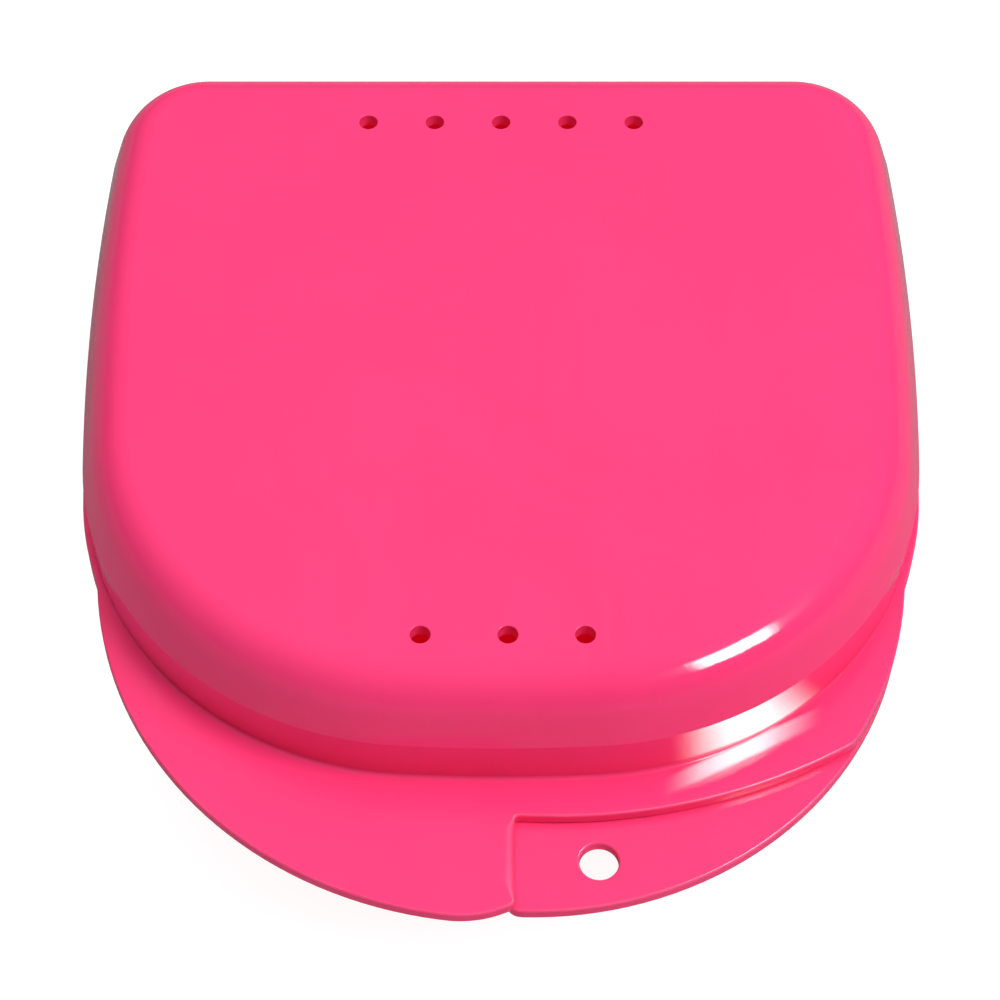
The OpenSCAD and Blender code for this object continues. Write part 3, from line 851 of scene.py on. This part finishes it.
class Effects:
    """The surface effects that the plastics share, each a node group that is built once."""

    def __init__(self) -> None:
        """Builds the groups, each with its inputs' usual values."""
        flow = {"Color": (0.8, 0.1, 0.2, 1.0), "Deeper": (0.7, 0.1, 0.2, 1.0), "Amount": 0.5, "Rub": 0.3}
        polish = {"Roughness": 0.15, "Haze": 0.03, "Scuffs": 0.1, "Inside": 0.12, "Edges": 0.4}
        self.flow = self.group("colour_flow", flow, "Color", self.colour_flow)
        self.polish = self.group("mould_polish", polish, "Roughness", self.mould_polish)
        self.ripple = self.group("mould_ripple", {"Wave": 0.8, "Grain": 0.2}, "Height", self.mould_ripple)

    @staticmethod
    def group(name: str, inputs: dict[str, object], gives: str, draw: Callable) -> bpy.types.NodeTree:
        """Builds a node group.

        Args:
            name: The group's name.
            inputs: Its inputs by name, each with its usual value.
            gives: The name of its output.
            draw: The function that draws its nodes from a sketch and the inputs, and returns what it gives.

        Returns:
            The group.
        """
        tree = bpy.data.node_groups.new(name, "ShaderNodeTree")
        for label, value in inputs.items():
            kind = "NodeSocketColor" if isinstance(value, tuple) else "NodeSocketFloat"
            tree.interface.new_socket(name=label, in_out="INPUT", socket_type=kind).default_value = value
        kind = "NodeSocketColor" if gives == "Color" else "NodeSocketFloat"
        tree.interface.new_socket(name=gives, in_out="OUTPUT", socket_type=kind)
        made = draw(Sketch(tree), tree.nodes.new("NodeGroupInput").outputs)
        tree.links.new(made, tree.nodes.new("NodeGroupOutput").inputs[gives])
        return tree

    @staticmethod
    def colour_flow(sketch: Sketch, given: Sequence[Socket]) -> Socket:
        """The faint clouds that flowing plastic leaves in its colour, and its paler rubbed edges."""
        place = sketch.place()
        clouds = sketch.noise(place, 38.0, 3.0, 1.2)
        streaks = sketch.noise(sketch.stretched(place, (1.0, 0.22, 1.0)), 210.0)
        both = sketch.math("ADD", sketch.math("MULTIPLY", clouds, 0.7), sketch.math("MULTIPLY", streaks, 0.3))
        cloudy = sketch.math("MULTIPLY", sketch.spread(both, 0.38, 0.64), given["Amount"])
        toned = sketch.mixed(cloudy, given["Color"], given["Deeper"])
        patchy = sketch.spread(sketch.noise(place, 160.0, 4.0), 0.4, 0.65)
        rubbed = sketch.math("MULTIPLY", sketch.math("MULTIPLY", sketch.mark("edge"), patchy), given["Rub"])
        pale = sketch.mixed(0.22, given["Color"], (1.0, 0.72, 0.74, 1.0))
        return sketch.mixed(rubbed, toned, pale)

    @staticmethod
    def mould_polish(sketch: Sketch, given: Sequence[Socket]) -> Socket:
        """How smooth it is: glossy, with hazy patches and hairline scuffs, duller inside and on edges."""
        place = sketch.place()
        haze = sketch.spread(sketch.noise(place, 55.0, 5.0), 0.35, 0.7)
        lines = []
        for tilt, scale in ((0.5, 900.0), (-0.9, 1150.0)):
            turned = sketch.stretched(place, (1.0, 0.03, 0.3), (0.2, 0.1, tilt))
            lines.append(sketch.spread(sketch.noise(turned, scale, 1.0), 0.70, 0.78))
        patches = sketch.spread(sketch.noise(place, 90.0), 0.5, 0.62)
        scuffs = sketch.math("MULTIPLY", sketch.math("MAXIMUM", *lines), patches)
        total = given["Roughness"]
        marks = {"Haze": haze, "Scuffs": scuffs, "Inside": sketch.mark("inner"), "Edges": sketch.mark("edge")}
        for label, mark in marks.items():
            total = sketch.math("MULTIPLY_ADD", mark, given[label], total)
        return total

    @staticmethod
    def mould_ripple(sketch: Sketch, given: Sequence[Socket]) -> Socket:
        """The gentle unevenness of a moulded wall, with a trace of fine grain, as a height."""
        place = sketch.place()
        height = sketch.math("MULTIPLY", sketch.noise(place, 85.0, 1.0), given["Wave"])
        return sketch.math("MULTIPLY_ADD", sketch.noise(place, 2600.0), given["Grain"], height)


@dataclass(frozen=True)
class GlossyPlastic:
    """Glossy moulded plastic of one colour batch."""

    name: str
    color: Triple
    deeper: Triple
    roughness: float = 0.07
    haze: float = 0.02
    scuffs: float = 0.10
    inside: float = 0.12
    edges: float = 0.45
    flow: float = 0.5
    rub: float = 0.15
    # painted glow: emission colour on the inner faces, standing in for light that comes through the wall
    through: Triple = (0.11, 0.0, 0.004)
    ripple_height: float = 0.00004
    ior: float = 1.52

    def material(self, effects: Effects) -> bpy.types.Material:
        """Makes the material; its inner faces get a painted glow, for the light that comes through the wall."""
        made = bpy.data.materials.new(self.name)
        made.use_nodes = True
        sketch = Sketch(made.node_tree)
        shader = made.node_tree.nodes["Principled BSDF"].inputs
        shader["IOR"].default_value = self.ior
        shader["Emission Strength"].default_value = 1.0
        color, deeper = (*self.color, 1.0), (*self.deeper, 1.0)
        tones = {"Color": color, "Deeper": deeper, "Amount": self.flow, "Rub": self.rub}
        flow = sketch.node("Group", tones, node_tree=effects.flow)
        labels = ("Roughness", "Haze", "Scuffs", "Inside", "Edges")
        shares = {label: getattr(self, label.lower()) for label in labels}
        polish = sketch.node("Group", shares, node_tree=effects.polish)
        height = sketch.node("Group", node_tree=effects.ripple).outputs["Height"]
        bump = sketch.node("Bump", {"Strength": 1.0, "Distance": self.ripple_height, "Height": height})
        # painted glow on the inner faces, for the light that comes through the wall
        through = sketch.mixed(sketch.mark("inner"), (0.0, 0.0, 0.0, 1.0), (*self.through, 1.0))
        links = made.node_tree.links
        links.new(through, shader["Emission Color"])
        links.new(flow.outputs["Color"], shader["Base Color"])
        links.new(polish.outputs["Roughness"], shader["Roughness"])
        links.new(bump.outputs["Normal"], shader["Normal"])
        return made


# -------- the studio


class Shows(Enum):
    """What a lamp adds to: the light that falls on the case, or only the shine in its gloss."""

    LIGHT = "light"
    SHINE = "shine"


@dataclass(frozen=True)
class Lamp:
    """A flat lamp, in metres, even all over or fading towards its ends and its long edges."""

    name: str
    centre: Triple
    faces: Triple
    size: Pair
    radiance: float
    runs: Triple
    shows: Shows = Shows.LIGHT
    color: Triple = WHITE
    fade: Pair | None = None

    @classmethod
    def hung(
        cls, name: str, azimuth: float, elevation: float, spread: Pair, radiance: float,
        distance: float = 0.8, color: Triple = WHITE,
    ) -> "Lamp":
        """Hangs a lamp that faces the case.

        Args:
            name: Its name.
            azimuth: Its direction in plan as seen from the case, in degrees anticlockwise from +X.
            elevation: Its height above the horizon, in degrees.
            spread: Its width and height as seen from the case, in degrees.
            radiance: Its brightness.
            distance: How far off it hangs, in metres.
            color: The colour of its light.

        Returns:
            The lamp.
        """
        flat, lift = along(azimuth), math.radians(elevation)
        away = Vector((*(flat * math.cos(lift)), math.sin(lift)))
        level = Vector((0.0, 0.0, 1.0)).cross(away).normalized()
        target = Vector((0.018, -0.018, 0.022))
        size = tuple(2.0 * distance * math.tan(math.radians(s / 2.0)) for s in spread)
        centre = tuple(target + away * distance)
        return cls(name, centre, tuple(-away), size, radiance, tuple(level), color=color)

    def place(self) -> None:
        """Puts the lamp into the scene."""
        lamp = bpy.data.lights.new(self.name, "AREA")
        lamp.shape = "RECTANGLE"
        lamp.size, lamp.size_y = self.size
        lamp.energy = self.radiance * math.pi * lamp.size * lamp.size_y
        lamp.color = self.color
        if self.fade:
            self.soften(lamp)
        holder = placed(self.name, lamp)
        back, side = -Vector(self.faces).normalized(), Vector(self.runs).normalized()
        axes = Matrix((side, back.cross(side), back)).transposed()
        holder.matrix_world = Matrix.Translation(self.centre) @ axes.to_4x4()
        holder.visible_camera = False
        holder.visible_diffuse = self.shows is Shows.LIGHT
        holder.visible_glossy = self.shows is Shows.SHINE

    def soften(self, lamp: bpy.types.AreaLight) -> None:
        """Makes the lamp fade towards its ends and its long edges."""
        lamp.use_nodes = True
        sketch = Sketch(lamp.node_tree)
        spot = sketch.node("SeparateXYZ", {0: sketch.node("NewGeometry").outputs["Parametric"]}).outputs
        parts = []
        for axis, share in zip("XY", self.fade):
            off = sketch.math("ABSOLUTE", sketch.math("MULTIPLY_ADD", spot[axis], 2.0, -1.0))
            inputs = {"Value": off, "From Min": 1.0, "From Max": 1.0 - share}
            parts.append(sketch.node("MapRange", inputs, interpolation_type="SMOOTHSTEP").outputs["Result"])
        strength = sketch.math("MULTIPLY", *parts)
        lamp.node_tree.links.new(strength, lamp.node_tree.nodes["Emission"].inputs["Strength"])


@dataclass(frozen=True)
class CornerCards:
    """Four small bright cards at the case's right front corner, which only its gloss sees, in millimetres.

    Two hang above the dome for the long highlight and its faint ends, one lies on the shelf and one stands
    against the band, for the cream patch that is mirrored in both.
    """

    color: Triple = (1.0, 0.985, 0.91)
    corner_c: Pair = (6.965, -1.693)
    corner_r: float = 32.5
    shelf_z: float = 16.6
    dome_way: Triple = (-0.595, 0.507, -0.623)
    dome_runs: Triple = (0.638, 0.750, -0.172)
    off_face: float = 0.03
    shelf_at: float = -60.5
    shelf_out: float = 1.5
    band_at: float = -62.5
    band_up: float = 1.9

    def by_corner(self, angle: float, out: float, height: float) -> Triple:
        """A place by the corner: its direction from the corner's centre, and how far out and how high it is."""
        return (*(np.array(self.corner_c) + (self.corner_r + out) * along(angle)), self.shelf_z + height)

    def lamps(self) -> list[Lamp]:
        """All four cards."""
        on_shelf = self.by_corner(self.shelf_at, self.shelf_out, self.off_face)
        on_band = self.by_corner(self.band_at, self.off_face, self.band_up)
        flat, upright = (0.0, 0.0, 1.0), (*along(self.band_at), 0.0)
        shelf_runs, band_runs = ((*along(angle + 90.0), 0.0) for angle in (self.shelf_at, self.band_at))
        dome = (self.dome_way, self.dome_runs)
        cards = (
            ("window_card", (33.7, -38.9, 41.7), *dome, (20.3, 12.0), 30.0, (0.55, 0.35)),
            ("tail_card", (34.2, -38.3, 41.9), *dome, (40.0, 11.0), 2.2, (1.0, 0.8)),
            ("shelf_card", on_shelf, flat, shelf_runs, (17.0, 5.6), 8.5, (1.0, 0.1)),
            ("band_card", on_band, upright, band_runs, (17.5, 4.4), 20.0, (1.0, 0.5)),
        )
        lamps = []
        for name, centre, faces, runs, size, radiance, fade in cards:
            centre, size = (tuple(v * MM for v in values) for values in (centre, size))
            lamps.append(Lamp(name, centre, faces, size, radiance, runs, Shows.SHINE, self.color, fade))
        return lamps


@dataclass(frozen=True)
class Studio:
    """The white table, the lamps, the surroundings and the camera."""

    eye: Triple = (0.0, -0.162996, 0.24367)
    tilt: float = 35.0
    lens: float = 104.4
    film_w: float = 36.0
    shift_x: float = -0.001
    nearest: float = 0.01
    floor_half: float = 2.5
    floor_drop: float = 0.00005
    floor_grey: float = 0.80
    floor_glow: float = 0.92
    less_seen: float = 0.55
    less_mirrored: float = 0.62
    glow_mirrored: float = 0.05
    fill: float = 0.02
    dim: float = 0.10
    bright: float = 0.22

    def build(self) -> None:
        """Sets the whole studio up."""
        self.set_camera()
        self.lay_table()
        self.light_surroundings()
        for lamp in self.lamps() + CornerCards().lamps():
            lamp.place()

    def lamps(self) -> list[Lamp]:
        """The key lamp from the right, and wide lamps overhead and behind."""
        return [
            Lamp.hung("key", -20.0, 52.0, (28.0, 30.0), 8.3, color=(1.0, 0.99, 0.97)),
            Lamp.hung("overhead", 130.0, 87.0, (64.0, 64.0), 1.85, distance=1.2),
            Lamp.hung("rear", 90.0, 55.0, (50.0, 50.0), 1.0),
        ]

    def set_camera(self) -> None:
        """Puts the camera where the photograph was taken."""
        data = bpy.data.cameras.new("camera")
        data.lens, data.sensor_width, data.shift_x = self.lens, self.film_w, self.shift_x
        data.clip_start = self.nearest
        camera = placed("camera", data)
        camera.location = self.eye
        camera.rotation_euler = (math.radians(self.tilt), 0.0, 0.0)
        bpy.context.scene.camera = camera

    @staticmethod
    def seen(sketch: Sketch) -> tuple[Socket, Socket]:
        """Masks for rays that show the background: straight or through glass, and by a reflection."""
        path = sketch.node("LightPath").outputs
        return sketch.math("MAXIMUM", path["Is Camera Ray"], path["Is Transmission Ray"]), path["Is Glossy Ray"]

    def lay_table(self) -> None:
        """Lays a plain white table top, which looks white and keeps a pale shadow."""
        mesh = bpy.data.meshes.new("table_top")
        h = self.floor_half
        mesh.from_pydata([(-h, -h, 0.0), (h, -h, 0.0), (h, h, 0.0), (-h, h, 0.0)], [], [(0, 1, 2, 3)])
        table = placed("table_top", mesh)
        table.location.z = -self.floor_drop
        paint = bpy.data.materials.new("table_paint")
        paint.use_nodes = True
        tree = paint.node_tree
        tree.nodes.clear()
        sketch = Sketch(tree)
        straight, mirrored = self.seen(sketch)
        grey = sketch.math("MULTIPLY_ADD", straight, -self.less_seen, self.floor_grey)
        grey = sketch.math("MULTIPLY_ADD", mirrored, -self.less_mirrored, grey)
        tone = sketch.node("CombineColor", {0: grey, 1: grey, 2: grey}).outputs[0]
        matt = sketch.node("BsdfDiffuse", {"Color": tone})
        seen_glow = sketch.math("MULTIPLY", straight, self.floor_glow)
        glow = sketch.math("MULTIPLY_ADD", mirrored, self.glow_mirrored, seen_glow)
        light = sketch.node("Emission", {"Color": (*WHITE, 1.0), "Strength": glow})
        both = sketch.node("AddShader", {0: matt.outputs[0], 1: light.outputs[0]})
        out = sketch.node("OutputMaterial", {"Surface": both.outputs[0]})
        out.is_active_output = True
        mesh.materials.append(paint)

    def light_surroundings(self) -> None:
        """Makes the surroundings look white, and dim in the gloss, with a little light from all sides."""
        world = bpy.data.worlds.new("surroundings")
        bpy.context.scene.world = world
        world.use_nodes = True
        tree = world.node_tree
        sketch = Sketch(tree)
        straight, mirrored = self.seen(sketch)
        way = sketch.node("TexCoord").outputs["Generated"]
        up = sketch.node("SeparateXYZ", {0: way}).outputs["Z"]
        inputs = {"Value": up, "From Min": 0.1, "From Max": 0.8, "To Min": self.dim, "To Max": self.bright}
        shine = sketch.node("MapRange", inputs, interpolation_type="SMOOTHSTEP").outputs["Result"]
        strength = sketch.math("MULTIPLY_ADD", straight, 1.0 - self.fill, self.fill)
        strength = sketch.math("MAXIMUM", strength, sketch.math("MULTIPLY", mirrored, shine))
        background = tree.nodes["Background"]
        background.inputs["Color"].default_value = (*WHITE, 1.0)
        tree.links.new(strength, background.inputs["Strength"])


# -------- putting it together


class DentureCase:
    """The whole case: it builds every piece, dresses it and gives it to its half."""

    def __init__(self) -> None:
        """Makes the two plastics."""
        effects = Effects()
        lid = GlossyPlastic("lid_plastic", (0.945, 0.045, 0.187), (0.915, 0.038, 0.170))
        base = replace(lid, name="base_plastic", color=(0.940, 0.046, 0.184), deeper=(0.910, 0.039, 0.168))
        self.plastics = {Half.LID: lid.material(effects), Half.BASE: base.material(effects)}

    def dress(self, piece: Piece, half: Half) -> None:
        """Gives a piece its plastic and ties it to its half of the case."""
        piece.data.materials.append(self.plastics[half])
        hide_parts(*half.value)
        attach(piece, half.body)
        half.plastic
        points, faces = len(piece.data.vertices), len(piece.data.polygons)
        LOG.info("%s: %d points, %d faces, on the %s", piece.name, points, faces, half.body)

    def build(self) -> None:
        """Builds the two shells and the two hinges."""
        self.dress(LidShell().build(), Half.LID)
        self.dress(BaseShell().build(), Half.BASE)
        for hand in Hand:
            hinge = Hinge(hand)
            self.dress(hinge.build_lid_side(), Half.LID)
            self.dress(hinge.build_base_side(), Half.BASE)


def main() -> None:
    """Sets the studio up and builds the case."""
    bpy.context.scene.view_settings.view_transform = "Standard"
    Studio().build()
    DentureCase().build()


if __name__ == "__main__":
    main()
